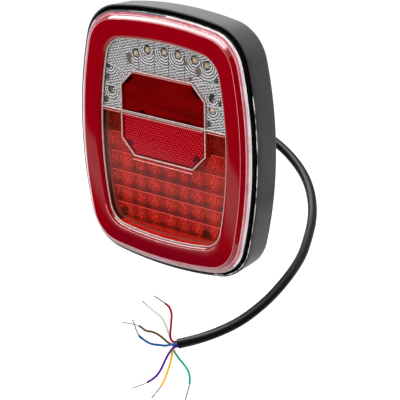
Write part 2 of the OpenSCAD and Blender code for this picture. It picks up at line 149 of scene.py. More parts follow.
def pane_material(name, tint, rough, least=0.04):
    """Tinted pane: it mirrors more the flatter it is seen, the same from both sides, and passes the rest."""
    material = plastic(name, (0.9, 0.9, 0.9), (1, 1, 1), rough, scale=300, metallic=1.0)
    nt = material.node_tree
    clear = add(nt, "BsdfTransparent", Color=(*tint, 1))
    facing = add(nt, "LayerWeight", Blend=0.5)
    power = maths(nt, "POWER", 5)
    share = maths(nt, "MULTIPLY_ADD", 1 - least, least)
    mix = add(nt, "MixShader")
    link(nt, facing.outputs["Facing"], power.inputs[0])
    link(nt, power.outputs["Value"], share.inputs[0])
    link(nt, share.outputs["Value"], mix.inputs["Fac"])
    link(nt, clear.outputs["BSDF"], mix.inputs[1])
    link(nt, nt.nodes["Principled BSDF"].outputs["BSDF"], mix.inputs[2])
    link(nt, mix.outputs["Shader"], nt.nodes["Material Output"].inputs["Surface"])
    return material


def paint_shade_below(material, deep, lowest, highest):
    """Painted shade: make the colour go over to deep from the height highest down to lowest, in metres."""
    nt = material.node_tree
    base = nt.nodes["Principled BSDF"].inputs["Base Color"]
    own_colour = base.links[0].from_socket
    blend = add(nt, "Mix")
    blend.data_type = "RGBA"
    blend.inputs["A"].default_value = (*deep, 1)
    height = ranged(nt, object_axes(nt)["Z"], From_Min=lowest, From_Max=highest)
    link(nt, height, blend.inputs["Factor"])
    link(nt, own_colour, blend.inputs["B"])
    link(nt, blend.outputs["Result"], base)


# Each row: name, darkest and lightest colour, roughness range, and what differs from plastic's own values
PLASTICS = (
    # Tub, studs, gland, cable and adhesive, with a painted highlight line for the adhesive's edge
    ("housing", (0.03, 0.03, 0.032), (0.042, 0.042, 0.044), (0.42, 0.5),
     dict(scale=260, bump=0.00004, bump_scale=3800, spec=0.32)),
    ("zinc_steel", (0.3, 0.3, 0.28), (0.42, 0.42, 0.4), (0.3, 0.42), dict(scale=700, metallic=1.0)),
    ("black_rubber", (0.012, 0.012, 0.012), (0.02, 0.02, 0.02), (0.5, 0.65),
     dict(scale=500, bump=0.00003)),
    ("cable_black", (0.0025, 0.0025, 0.003), (0.005, 0.005, 0.0055), (0.3, 0.4),
     dict(scale=420, bump=0.00003, bump_scale=1800, spec=0.12)),
    ("glue", (0.002, 0.002, 0.002), (0.005, 0.005, 0.005), (0.15, 0.4),
     dict(scale=500, bump=0.00012, bump_scale=700, spec=0.12)),
    ("glue_flash", (0.5, 0.46, 0.45), (0.75, 0.7, 0.68), (0.15, 0.4), dict(scale=900)),
    # Clear border, its light painted on: pink glow from the red ring beside it, dim painted shade along the
    # bottom, grey painted shade on the upper left, and a white painted highlight for its edge
    ("border_pink", (0.4, 0.06, 0.1), (0.56, 0.2, 0.24), (0.05, 0.12),
     dict(scale=180, spec=0.8, coat=0.5, stretch=(1, 1, 0.35))),
    ("border_low", (0.2, 0.1, 0.11), (0.34, 0.22, 0.24), (0.05, 0.12),
     dict(scale=180, spec=0.7, stretch=(0.35, 1, 1))),
    ("border_grey", (0.08, 0.078, 0.085), (0.13, 0.125, 0.135), (0.05, 0.12), dict(scale=180, spec=0.9)),
    ("edge_white", (0.72, 0.62, 0.64), (0.9, 0.86, 0.87), (0.06, 0.15), dict(scale=300, spec=1.0)),
    # Inner pieces, most of which keep their CAD shape
    ("natural_nylon", (0.66, 0.64, 0.55), (0.72, 0.7, 0.62), (0.35, 0.45), dict()),
    ("board_white", (0.68, 0.7, 0.68), (0.76, 0.78, 0.76), (0.3, 0.4), dict(scale=400)),
    ("led_amber", (0.36, 0.27, 0.18), (0.52, 0.42, 0.3), (0.15, 0.25), dict(scale=900)),
    ("led_core", (0.62, 0.5, 0.36), (0.76, 0.64, 0.48), (0.1, 0.2), dict(scale=900)),
    ("led_white", (0.8, 0.72, 0.3), (0.9, 0.84, 0.5), (0.1, 0.2), dict(scale=900)),
    ("led_red", (0.5, 0.06, 0.04), (0.65, 0.1, 0.06), (0.1, 0.2), dict(scale=900)),
    ("chip_black", (0.012, 0.012, 0.013), (0.02, 0.02, 0.02), (0.45, 0.6), dict()),
    ("capacitor_sleeve", (0.03, 0.035, 0.06), (0.05, 0.055, 0.09), (0.2, 0.3), dict()),
    ("tray_silver", (0.62, 0.62, 0.62), (0.75, 0.75, 0.75), (0.18, 0.3), dict(metallic=0.8)),
    ("clear_lens", (0.62, 0.56, 0.56), (0.72, 0.68, 0.68), (0.05, 0.12), dict(scale=500, spec=0.8)),
    # Border's plain colour, painted as the white glow of clear plastic, then the ring, welds, and painted
    # highlights on edges and seams
    ("border_clear", (0.5, 0.4, 0.42), (0.74, 0.68, 0.7), (0.05, 0.12),
     dict(scale=180, spec=0.9, coat=0.5, stretch=(1, 1, 0.35))),
    ("ring_red", (0.22, 0.0, 0.0035), (0.245, 0.0, 0.005), (0.04, 0.07), dict(scale=60, spec=0.5)),
    ("bead", (0.42, 0.33, 0.3), (0.58, 0.47, 0.43), (0.2, 0.35), dict(scale=500, spec=0.7)),
    ("bar_dark", (0.14, 0.05, 0.045), (0.24, 0.1, 0.09), (0.25, 0.4), dict(scale=500)),
    ("pink_edge", (0.78, 0.2, 0.22), (0.85, 0.36, 0.36), (0.1, 0.2), dict(scale=500, spec=0.8)),
    ("pink_seam", (0.6, 0.24, 0.27), (0.8, 0.5, 0.52), (0.08, 0.16), dict(scale=220, spec=0.9)),
    # Relief behind the clear arch, from light to dark, painted with the clear prisms' reflections and shade
    ("facet_white", (0.88, 0.86, 0.88), (0.96, 0.95, 0.96), (0.14, 0.28), dict(scale=700, metallic=0.2)),
    ("facet_light", (0.62, 0.59, 0.61), (0.75, 0.75, 0.75), (0.15, 0.3), dict(scale=600, metallic=0.25)),
    ("facet_mid", (0.31, 0.29, 0.3), (0.42, 0.43, 0.42), (0.18, 0.3), dict(scale=600, metallic=0.3)),
    ("facet_dim", (0.12, 0.115, 0.11), (0.17, 0.175, 0.165), (0.2, 0.35), dict(scale=600, metallic=0.35)),
    ("facet_dark", (0.03, 0.03, 0.028), (0.06, 0.062, 0.058), (0.25, 0.4), dict(scale=600, metallic=0.2)),
    ("facet_brown", (0.13, 0.085, 0.055), (0.22, 0.15, 0.1), (0.25, 0.4), dict(scale=600)),
    # Relief behind the red panel, from light to dark, painted with its highlights and shade
    ("optic_glint", (0.62, 0.13, 0.1), (0.74, 0.22, 0.18), (0.15, 0.3), dict(scale=700, spec=0.6)),
    ("optic_bright", (0.48, 0.035, 0.032), (0.6, 0.055, 0.048), (0.18, 0.3), dict(scale=700, spec=0.5)),
    ("optic_mid", (0.33, 0.016, 0.018), (0.42, 0.026, 0.024), (0.2, 0.35), dict(scale=700, spec=0.5)),
    ("optic_dim", (0.2, 0.014, 0.012), (0.27, 0.022, 0.018), (0.25, 0.4), dict(scale=700)),
    ("optic_dark", (0.06, 0.012, 0.009), (0.11, 0.018, 0.014), (0.25, 0.4), dict(scale=700)),
    # Walls and backs of the windows; the wall comes as a lit copy and a shaded copy, painted light and shade
    ("wall_red", (0.72, 0.0, 0.01), (0.82, 0.004, 0.016), (0.2, 0.35), dict(scale=300)),
    ("wall_brown", (0.045, 0.012, 0.012), (0.08, 0.02, 0.02), (0.25, 0.4), dict(scale=300)),
    ("fog_back", (0.17, 0.0, 0.004), (0.34, 0.0, 0.011), (0.3, 0.4),
     dict(scale=90, stretch=(0.35, 1, 2.2))),
    ("post_dark", (0.012, 0.001, 0.001), (0.03, 0.002, 0.002), (0.3, 0.5), dict()),
    ("reflex_base", (0.16, 0.0, 0.009), (0.22, 0.0, 0.013), (0.15, 0.3), dict(scale=500, spec=0.3)),
    ("reflex_dot", (0.66, 0.06, 0.09), (0.8, 0.14, 0.16), (0.1, 0.2), dict(scale=700, spec=0.8)),
    # Bared conductors
    ("tinned_copper", (0.12, 0.11, 0.1), (0.3, 0.28, 0.25), (0.35, 0.5), dict(scale=2500, metallic=0.7)),
)
# Each row: name, tint, roughness range, and the least share that is mirrored
PANES = (
    ("red_pane", (1.0, 0.72, 0.66), (0.05, 0.08), 0.022),
    ("reflex_pane", (1.0, 0.6, 0.68), (0.05, 0.08), 0.012),
    ("fog_pane", (0.92, 0.5, 0.5), (0.04, 0.06), 0.04),
    ("clear_pane", (0.97, 0.97, 0.97), (0.04, 0.06), 0.04),
)
M = {name: plastic(name, low, high, rough, **more) for name, low, high, rough, more in PLASTICS}
M.update({name: pane_material(name, tint, rough, least) for name, tint, rough, least in PANES})
# Painted shade: the ring's red deepens towards its bottom, where less light falls
paint_shade_below(M["ring_red"], (0.155, 0.0, 0.006), -0.086, -0.066)
INSULATION = (
    ("red", (0.27, 0.001, 0.018), (0.34, 0.002, 0.026)),
    ("white", (0.42, 0.43, 0.42), (0.52, 0.53, 0.52)),
    ("brown", (0.07, 0.026, 0.001), (0.1, 0.042, 0.002)),
    ("blue", (0.001, 0.06, 0.24), (0.002, 0.09, 0.32)),
    ("violet", (0.07, 0.001, 0.2), (0.1, 0.002, 0.27)),
    ("yellow", (0.72, 0.38, 0.012), (0.82, 0.46, 0.025)),
    ("green", (0.001, 0.31, 0.24), (0.002, 0.38, 0.3)),
)
for colour, low, high in INSULATION:
    name = "insulation_" + colour
    M[name] = plastic(name, low, high, (0.3, 0.42), scale=700, bump=0.00001, spec=0.1)


# ---- mesh helpers
# Sizes are in millimetres from here to the stage. d is the distance in front of the lamp's rear face.
def mesh_object(name, verts, faces, material, sharp=35, face_slots=None, unit=0.001):
    """Mesh with one material or a list of them, its edges sharp above the angle sharp in degrees."""
    mesh = bpy.data.meshes.new(name)
    mesh.from_pydata([(v[0] * unit, v[1] * unit, v[2] * unit) for v in verts], [], faces)
    for each in material if isinstance(material, (list, tuple)) else [material]:
        mesh.materials.append(each)
    if face_slots is not None:
        mesh.polygons.foreach_set("material_index", np.asarray(face_slots, np.int32))
    mesh.polygons.foreach_set("use_smooth", np.ones(len(mesh.polygons), bool))
    mesh.update()
    mesh.set_sharp_from_angle(angle=math.radians(sharp))
    o = bpy.data.objects.new(name, mesh)
    scene.collection.objects.link(o)
    return o


def place(o, slot, *nodes):
    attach(o, "root")
    if nodes:
        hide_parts(*nodes)
    return o


# Outlines: half width, half height, bulge of the sides, bulge of the ends, corner radius
RIM = (84.5, 99.0, 17.0, 12.0, 34.0)
RING = (76.5, 92.0, 14.0, 9.5, 28.0)
WINDOW = (59.0, 75.0, 10.0, 7.0, 17.0)
ARC_POINTS = (14, 16, 12)


def bow_radius(half_chord, bulge):
    return (half_chord ** 2 + bulge ** 2) / (2 * bulge)


def outline(shape, inset=0.0):
    """Points (x, z) of a bulged rectangle with rounded corners, moved in by inset."""
    half_w, half_h, side_bulge, end_bulge, corner_r = shape
    side_r, end_r = bow_radius(half_h, side_bulge), bow_radius(half_w, end_bulge)
    side, end = np.array([half_w - side_r, 0.0]), np.array([0.0, half_h - end_r])
    # The corner's centre lies at known distances from the centres of both long arcs
    to_side, to_end = side_r - corner_r, end_r - corner_r
    apart = np.linalg.norm(end - side)
    way = (end - side) / apart
    along = (to_side * to_side - to_end * to_end + apart * apart) / (2 * apart)
    across = math.sqrt(to_side * to_side - along * along)
    corner = side + way * along + np.array([-way[1], way[0]]) * across
    side_turn = math.atan2(*(corner - side)[::-1])
    end_turn = math.atan2(*(corner - end)[::-1])
    bows = (
        (side, side_r - inset, 0, side_turn),
        (corner, corner_r - inset, side_turn, end_turn),
        (end, end_r - inset, end_turn, math.pi / 2),
    )
    quarter = []
    for (centre, radius, start, stop), count in zip(bows, ARC_POINTS):
        for k in range(count):
            a = start + (stop - start) * k / count
            quarter.append((centre[0] + radius * math.cos(a), centre[1] + radius * math.sin(a)))
    q = np.array(quarter + [(0.0, half_h - inset)])
    return np.vstack([q[:-1], (q * [-1, 1])[:0:-1], (q * [-1, -1])[:-1], (q * [1, -1])[:0:-1]])


def rim(inset=0.0):
    return outline(RIM, inset)


def ring(inset=0.0):
    return outline(RING, inset)


def window(inset=0.0):
    return outline(WINDOW, inset)


def rows_on(line, *steps):
    """Rows for a loft along one kind of outline; each step is (inset, d)."""
    return [(line(inset), d) for inset, d in steps]


def loft(name, rows, material, closed=False, cap_start=False, cap_end=False, sharp=35, slot_of=None):
    """Skin over rows of (outline, d), where d is one number or one for each point of the outline."""
    n = len(rows[0][0])
    verts = []
    for points, d in rows:
        verts += [(x, -depth, z) for (x, z), depth in zip(points, np.broadcast_to(d, n))]
    faces = []
    count = len(rows)
    for r in range(count if closed else count - 1):
        a, b = r * n, ((r + 1) % count) * n
        faces += [(a + i, a + (i + 1) % n, b + (i + 1) % n, b + i) for i in range(n)]
    if cap_start:
        faces.append(tuple(range(n))[::-1])
    if cap_end:
        faces.append(tuple((count - 1) * n + i for i in range(n)))
    slots = None
    if slot_of:
        middles = [np.mean([verts[i] for i in face], axis=0) for face in faces]
        slots = [slot_of(middle[0], middle[2]) for middle in middles]
    return mesh_object(name, verts, faces, material, sharp, slots)


def rounded(points, r, steps=4):
    """Polygon with its corners rounded to radius r."""
    out = []
    pts = [np.array(p, float) for p in points]
    for i, corner in enumerate(pts):
        back, ahead = pts[i - 1] - corner, pts[(i + 1) % len(pts)] - corner
        back, ahead = back / np.linalg.norm(back), ahead / np.linalg.norm(ahead)
        half_angle = math.acos(max(-1, min(1, float(back @ ahead)))) / 2
        trim = r / math.tan(half_angle)
        centre = corner + (back + ahead) / np.linalg.norm(back + ahead) * r / math.sin(half_angle)
        start, stop = corner + back * trim - centre, corner + ahead * trim - centre
        start_a, stop_a = math.atan2(start[1], start[0]), math.atan2(stop[1], stop[0])
        turn = (stop_a - start_a + math.pi) % (2 * math.pi) - math.pi
        angles = [start_a + turn * k / steps for k in range(steps + 1)]
        out += [centre + r * np.array([math.cos(a), math.sin(a)]) for a in angles]
    return np.array(out)


# Octagonal panel: half width, half height, how far its corners are cut, and the height of its middle
OCTAGON_W, OCTAGON_H, OCTAGON_CUT, OCTAGON_Z = 39.5, 32.5, 12, 17


def octagon(inset=0.0, corner_r=1.2):
    w, h, c = OCTAGON_W - inset, OCTAGON_H - inset, OCTAGON_CUT - inset * (2 - math.sqrt(2))
    pts = [(w, h - c), (w - c, h), (c - w, h), (-w, h - c), (-w, c - h), (c - w, -h), (w - c, -h), (w, c - h)]
    return rounded([(x, z + OCTAGON_Z) for x, z in pts], corner_r)


def prism(name, pts, d0, d1, material, chamfer=0.25):
    """Flat piece of outline pts between d0 and d1, its front edge chamfered."""
    full = np.array(pts)
    inner = []
    for i, point in enumerate(full):
        edges = (point - full[i - 1], full[(i + 1) % len(full)] - point)
        normals = [np.array([-e[1], e[0]]) / max(np.linalg.norm(e), 1e-9) for e in edges]
        inward = normals[0] + normals[1]
        inner.append(point + inward / max(float(inward @ inward) / 2, 0.3) * chamfer)
    rows = [(full, d0), (full, d1 - chamfer), (np.array(inner), d1)]
    return loft(name, rows, material, cap_start=True, cap_end=True, sharp=25)


def merge(name, parts, material, sharp=35):
    """One object out of several lists of vertices and faces."""
    verts, faces = [], []
    for part_verts, part_faces in parts:
        first = len(verts)
        verts += [tuple(v) for v in part_verts]
        faces += [tuple(i + first for i in face) for face in part_faces]
    return mesh_object(name, verts, faces, material, sharp)


def grid_faces(rows, around):
    """Faces of a tube of rows rings with around points each, closed at both ends."""
    faces = []
    for i in range(rows - 1):
        for k in range(around):
            a, b = i * around + k, i * around + (k + 1) % around
            faces.append((a, b, b + around, a + around))
    faces.append(tuple(range(around))[::-1])
    faces.append(tuple((rows - 1) * around + k for k in range(around)))
    return faces


def spun(profile, centre, steps=48):
    """Vertices and faces of a solid turned about the lamp's depth: profile is (radius, d) from end to end."""
    verts = []
    for r, d in profile:
        for k in range(steps):
            a = 2 * math.pi * k / steps
            verts.append((centre[0] + r * math.cos(a), -d, centre[1] + r * math.sin(a)))
    return verts, grid_faces(len(profile), steps)


def block(x0, x1, z0, z1, d0, d1, edge=0.3):
    """Vertices and faces of a box with its front and back edges chamfered."""
    verts = []
    for g, d in ((edge, d0), (0, d0 + edge), (0, d1 - edge), (edge, d1)):
        verts += [(x0 + g, -d, z0 + g), (x1 - g, -d, z0 + g), (x1 - g, -d, z1 - g), (x0 + g, -d, z1 - g)]
    return verts, grid_faces(4, 4)


# ---- cords: cable, wires, bared conductors
def share_of(p, q, from_t, to_t, t):
    """Point on the line from p, at from_t, to q, at to_t."""
    return p * (to_t - t) / (to_t - from_t) + q * (t - from_t) / (to_t - from_t)


def smooth_path(points, per=8):
    """Smooth curve through the points, centripetal, per steps between each two."""
    p = np.array(points, float)
    p = np.vstack([2 * p[0] - p[1], p, 2 * p[-1] - p[-2]])
    out = []
    for i in range(1, len(p) - 2):
        four = p[i - 1:i + 3]
        steps = [math.sqrt(np.linalg.norm(b - a)) for a, b in zip(four[:-1], four[1:])]
        at = np.cumsum([0.0] + steps)
        for k in range(per):
            t = at[1] + (at[2] - at[1]) * k / per
            a1, a2, a3 = (share_of(four[j], four[j + 1], at[j], at[j + 1], t) for j in range(3))
            b1, b2 = share_of(a1, a2, at[0], at[2], t), share_of(a2, a3, at[1], at[3], t)
            out.append(share_of(b1, b2, at[1], at[2], t))
    out.append(p[-2])
    return np.array(out)


def frames(path):
    """Unit tangents and two normals along a path, turned as little as possible from point to point."""
    tangents = np.gradient(path, axis=0)
    tangents /= np.linalg.norm(tangents, axis=1)[:, None]
    normal = np.cross(tangents[0], [0.3, 0.2, 0.9])
    normal /= np.linalg.norm(normal)
    normals = []
    for tangent in tangents:
        normal = normal - tangent * (normal @ tangent)
        normal /= np.linalg.norm(normal)
        normals.append(normal)
    normals = np.array(normals)
    return tangents, normals, np.cross(tangents, normals)


def tube_parts(path, radius, sides, inset=0.0):
    """Vertices and faces of a tube; radius is one number or one a point, and inset rounds the cut ends."""
    t, u, v = frames(path)
    radii = np.broadcast_to(radius, len(path))
    if inset:
        first, last = path[0] + t[0] * inset, path[-1] - t[-1] * inset
        path = np.vstack([path[0], first, path[1:-1], last, path[-1]])
        u, v = np.vstack([u[0], u, u[-1]]), np.vstack([v[0], v, v[-1]])
        radii = np.concatenate([[radius - inset], radii, [radius - inset]])
    angles = [2 * math.pi * k / sides for k in range(sides)]
    verts = []
    for point, a, b, r in zip(path, u, v, radii):
        verts += [point + r * (math.cos(w) * a + math.sin(w) * b) for w in angles]
    return verts, grid_faces(len(path), sides)


cable_route = [
    (0, 20, 0), (0, 27, 0), (0, 34, -1), (4, 47, -4), (13.5, 57, -8), (27, 61.5, -13),
    (41, 61, -19), (54, 58, -25), (66, 53, -31), (77, 46, -37), (86, 37.5, -43), (94, 28, -49),
    (102, 15, -55), (108, 2, -60), (114, -11, -65), (118, -25, -69), (122, -40, -72),
    (124, -55, -76), (126, -70, -79), (126, -85, -82), (125, -100, -85), (121, -115, -87),
    (114, -128, -90), (103, -138, -93),
]
cable_end = np.array(cable_route[-1], float)
end_way = cable_end - np.array(cable_route[-2], float)
end_way /= np.linalg.norm(end_way)
end_side = np.cross(end_way, [0, 0, 1])
end_side /= np.linalg.norm(end_side)
end_up = np.cross(end_side, end_way)


def lead_in(angle, out=1.9):
    """First two points of a wire: one core in the middle of the cut face and six round it."""
    a = math.radians(angle)
    start = cable_end + out * (math.cos(a) * end_side + math.sin(a) * end_up)
    return [tuple(start), tuple(start + 2 * end_way)]


wires = {
    "red": (lead_in(90) + [
        (100, -140.6, -90.4), (99.1, -140.8, -88), (98.6, -140, -84), (98.5, -139, -78),
        (98.5, -138.5, -72), (97, -139, -67.5), (95, -141, -64.5), (90, -146.5, -58.5)], 0.0318),
    "white": (lead_in(30) + [
        (98.9, -138.9, -91.7), (97.2, -138.8, -89.6), (94, -137.6, -85.8), (90, -136.2, -81.2),
        (86, -135.5, -78.2), (79.5, -135.5, -75.5), (69.5, -135, -71.5)], 0.0300),
    "brown": (lead_in(0, 0) + [
        (99.8, -140.3, -93.4), (97, -140.9, -92.6), (93, -140.7, -91), (88.5, -140.6, -89.4),
        (83.5, -141, -88.5), (78.5, -142, -88.5), (72, -141.5, -87), (58.5, -142.5, -87.5)], 0.0330),
    "blue": (lead_in(150) + [
        (101, -142.5, -92.6), (99, -146, -92.5), (97, -150.5, -91),
        (95, -155.5, -89), (93.5, -160, -85.5), (92, -164.5, -80.5), (93, -171.5, -66.5)], 0.0321),
    "violet": (lead_in(210) + [
        (101.8, -141.9, -95.3), (101, -144, -97.5), (100.2, -147.2, -101.5),
        (99.8, -151, -106.5), (99, -155.5, -111), (96, -162, -114.5), (90.5, -171.5, -117)], 0.0331),
    "yellow": (lead_in(270) + [
        (101, -140.2, -96.6), (101, -141.5, -99.2), (101.7, -143.6, -103),
        (102.5, -147, -107.5), (103, -151.5, -113), (102.5, -155.5, -118), (100.5, -163, -124.5)], 0.0306),
    "green": (lead_in(330) + [
        (99.6, -138.5, -95.6), (99.8, -138.4, -98), (101.5, -137.8, -101.6), (104.8, -137.2, -105.2),
        (108.5, -136.6, -108.8), (111, -136, -113.5), (112, -137, -120.5), (110.5, -140, -131.5)], 0.0329),
}

path = smooth_path(cable_route, 8)
for smoothing in range(40):
    path[1:-1] = path[1:-1] * 0.5 + (path[:-2] + path[2:]) * 0.25
sheath = merge("cable_jacket", [tube_parts(path, 3.4, 28, 0.25)], M["cable_black"])
place(sheath, "cable_black", "cable_sheath")


def bared_conductor(core):
    """Six strands twisted round a seventh, soldered into a small bead at the end."""
    t, u, v = frames(core)
    arc = np.concatenate([[0], np.cumsum(np.linalg.norm(np.diff(core, axis=0), axis=1))])
    parts = []
    for s in range(7):
        pts = []
        for a in np.linspace(0, arc[-1], 26):
            at = [np.array([np.interp(a, arc, p[:, k]) for k in range(3)]) for p in (core, u, v)]
            turn = 2 * math.pi * (s / 6 + a / 7.0)
            out = 0.0 if s == 6 else 0.29
            pts.append(at[0] + out * (math.cos(turn) * at[1] + math.sin(turn) * at[2]))
        parts.append(tube_parts(np.array(pts), 0.15, 7, 0.03))
    end = core[-1] - t[-1] * 1.1
    bead = np.array([end + t[-1] * k for k in (0, 0.2, 0.5, 0.8, 1.08)])
    return parts + [tube_parts(bead, 0.44, 12, 0.18)]


for colour, (route, length) in wires.items():
    path = smooth_path(route, 8)
    body = path[:-8]
    wire = merge("insulation_" + colour, [tube_parts(body, 0.8, 16, 0.12)], M["insulation_" + colour])
    place(wire, "insulation_" + colour, "wire_" + colour)
    tip = merge("strands_" + colour, bared_conductor(path[-9:]), M["tinned_copper"], sharp=60)
    place(tip, "tinned_copper", "tip_" + colour)


# ---- housing
# Angles of a rounded edge
QUARTER_TURN = np.radians([15, 30, 45, 60, 75, 90])
rows = rows_on(rim, (9.0, 1.5), (9.0, 0.35), (8.8, 0.1), (8.5, 0.0), (4.6, 0.0))
rows += rows_on(rim, *[(4.5 - 3 * math.sin(a), 3 - 3 * math.cos(a)) for a in QUARTER_TURN])
rows += rows_on(rim, (1.0, 10.0), (0.4, 18.0), (0.05, 23.3), (0.1, 23.7), (0.35, 23.95), (0.6, 24.0))
# Over the rim's edge, down into the groove and round its floor
rows += rows_on(rim, (1.05, 24.0), (1.35, 23.9), (1.5, 23.6), (1.55, 21.0), (1.6, 17.2), (8.0, 17.2))
rows += rows_on(rim, (8.0, 15.0), (2.4, 15.0), (2.4, 4.0))
place(loft("housing_shell", rows, M["housing"], cap_start=True, cap_end=True), "housing", "rear_housing")

back_line = rim(9.0)


def reach(at, axis):
    """Half length of a rib inside the back's frame, at a given x (axis 0) or z (axis 1)."""
    near = back_line[(np.abs(back_line[:, axis] - at) < 4) & (back_line[:, 1 - axis] > 0)]
    near = near[np.argsort(near[:, axis])]
    return float(np.interp(at, near[:, axis], near[:, 1 - axis]))


RIB_X, RIB_Z, RIB_W, RIB_FRONT = (-40, 0, 40), (-52, 0, 52), 1.2, 1.6
back = [block(x - RIB_W, x + RIB_W, -reach(x, 0), reach(x, 0), 0.05, RIB_FRONT) for x in RIB_X]
back += [block(-reach(z, 1), reach(z, 1), z - RIB_W, z + RIB_W, 0.05, RIB_FRONT) for z in RIB_Z]
for centre, r in (((-40, 0), 12), ((40, 0), 12), ((0, -52), 8)):
    back.append(spun([(r - 0.4, 0.02), (r, 0.4), (r, RIB_FRONT)], centre, 64))
# Raised ring round the gland's sunk seat
pad = [(9.5, RIB_FRONT), (9.5, 0.25), (9.7, 0.02), (12.6, 0.02), (13, 0.4), (13, RIB_FRONT)]
back.append(spun(pad, (0, 0), 64))
place(merge("housing_ribs", back, M["housing"]), "housing")

# ---- studs and gland on the back
thread = [ridge for y in np.arange(0.5, 18.6) for ridge in ((2.95, -y), (2.5, -y - 0.5))]
neck, point = [(0.01, 5.0), (3.8, 5.0), (3.8, 0.0), (3.0, 0.0)], [(2.75, -19.2), (2.3, -20.0), (0.01, -20.0)]
studs = [spun(neck + thread + point, (x, 0), 40) for x in (-40, 40)]
place(merge("threaded_studs", studs, M["zinc_steel"], sharp=25), "zinc_steel", "mounting_studs")

flange = [(3.4, 5.5), (8.6, 5.5), (9.0, 5.1), (9.0, 4.0), (6.5, 4.0)]
flange += [(6.5, 1.5), (9.0, 1.5), (9.0, 0.3), (8.7, 0.0)]
SLEEVE_L, SLEEVE_R, SLEEVE_TAPER = 20, 6.8, 2.2
sleeve = []
for start in np.arange(0.0, SLEEVE_L, 4.0):
    thick = SLEEVE_R - SLEEVE_TAPER * start / SLEEVE_L
    thin = SLEEVE_R - SLEEVE_TAPER * (start + 2) / SLEEVE_L
    sleeve += [(thick, -start - 0.05), (thick, -start - 1.8), (thick - 0.15, -start - 2.0)]
    sleeve += [(thin - 0.62, -start - 2.15), (thin - 0.68, -start - 3.8)]
sleeve += [(4.6, -19.85), (4.4, -20.0), (3.4, -20.0)]
gland = merge("cable_boot", [spun(flange + sleeve, (0, 0), 48)], M["black_rubber"], sharp=30)
place(gland, "black_rubber", "cable_gland")

# ---- adhesive in the groove, with squeeze-out and a painted highlight along its edge
point_count = len(rim())
ang = np.arange(point_count) / point_count * 2 * math.pi
wave = 0.35 * np.sin(23 * ang + 1.3) + 0.25 * np.sin(57 * ang + 0.4) + 0.2 * np.sin(101 * ang)
glue_rows = rows_on(
    rim,
    (1.52, 22.6 + wave * 0.9), (1.8, 21.6 + wave * 0.6), (2.3, 20.8 + wave * 0.3), (2.9, 21.0 - wave * 0.2),
    (3.4, 22.6 - wave * 0.4), (3.62, 25.2 + wave * 0.5), (3.7, 26.4 + wave * 0.2), (3.9, 26.8 + wave * 0.15),
    (4.15, 26.8), (4.15, 17.3), (1.6, 17.3),
)
glue = loft("groove_adhesive", glue_rows, M["glue"], closed=True, sharp=80)
place(glue, "black_rubber", "adhesive_bead")


def strand(name, pts, radius, material):
    """Thin line of plastic along points (x, d, z), its radius varying from point to point."""
    path = np.array([(x, -d, z) for x, d, z in pts], float)
    return merge(name, [tube_parts(path, radius, 6)], material, sharp=60)


def inside(pts, x, z):
    """Whether each point is inside a polygon."""
    hit = np.zeros(x.shape, bool)
    for (x0, z0), (x1, z1) in zip(np.roll(pts, 1, axis=0), np.asarray(pts)):
        hit ^= ((z0 > z) != (z1 > z)) & (x < (x1 - x0) * (z - z0) / (z1 - z0 + 1e-12) + x0)
    return hit


def arc_of(points, keep):
    """Points, with two more between each two, for which keep(x, z) holds."""
    finer = [a * (1 - k / 3) + b * (k / 3) for a, b in zip(points[:-1], points[1:]) for k in range(3)]
    return np.array([c for c in finer if keep(c[0], c[1])])


def from_left(line, inset):
    """Outline that starts in the middle of the left side, so that a run along the right is unbroken."""
    return np.roll(line(inset), point_count // 2, axis=0)


# Painted highlight: a thin light line of uneven width along the adhesive's edge at the rim
edge = arc_of(from_left(rim, 1.45), lambda x, z: x > 42 and z < 48)
i = np.arange(len(edge))
size = np.clip(0.24 + 0.14 * np.sin(i * 0.9 + 2 * np.sin(i * 0.23)) + 0.16 * np.sin(i * 0.37 + 1), 0.05, 0.5)
place(strand("adhesive_edge_highlight", [(x, 24.02, z) for x, z in edge], size, M["glue_flash"]), "black_rubber")
blobs = []
for k, (x, z) in enumerate(arc_of(from_left(rim, 2.2), lambda x, z: x > 66 and -84 < z < 70)[::4]):
    r = 0.45 + 0.4 * abs(math.sin(k * 1.9 + 0.7)) * abs(math.sin(k * 0.61))
    dome = [(r * math.cos(a), 21.6 + r * 1.3 * math.sin(a)) for a in np.radians([0, 30, 60, 85])]
    blobs.append(spun([(r, 20.8)] + dome, (x + 0.35 * math.sin(k * 2.3), z), 12))
place(merge("adhesive_drops", blobs, M["glue"], sharp=70), "black_rubber")

# ---- clear border, red ring and weld beads
border_rows = rows_on(ring, (0.15, 27.5), (0.1, 28.45), (-0.6, 28.45), (-2.0, 28.0), (-3.0, 27.5))
border_rows += rows_on(rim, (4.6, 27.15), (4.2, 27.0), (3.95, 26.7), (3.82, 26.2), (3.8, 18.5), (6.0, 18.5))
border_rows += rows_on(rim, (6.0, 25.2)) + rows_on(ring, (0.15, 25.4))
border_looks = [M[k] for k in ("border_clear", "border_pink", "border_grey", "border_low")]
outer_strip, pink_strip = rim(4.9), ring(-1.9)


def border_slot(x, z):
    """Number of the painted look: dim shade along the bottom, pink glow by the ring, grey shade on the upper
    left edge, else the plain white glow.
    """
    at = np.array([x]), np.array([z])
    if z < -76 and abs(x) < 64:
        return 3
    if inside(pink_strip, *at)[0]:
        return 1
    return 2 if -72 < x < 4 and z > 70 and not inside(outer_strip, *at)[0] else 0


border = loft("clear_border", border_rows, border_looks, closed=True, sharp=30, slot_of=border_slot)
place(border, "clear_lens", "border_lens")

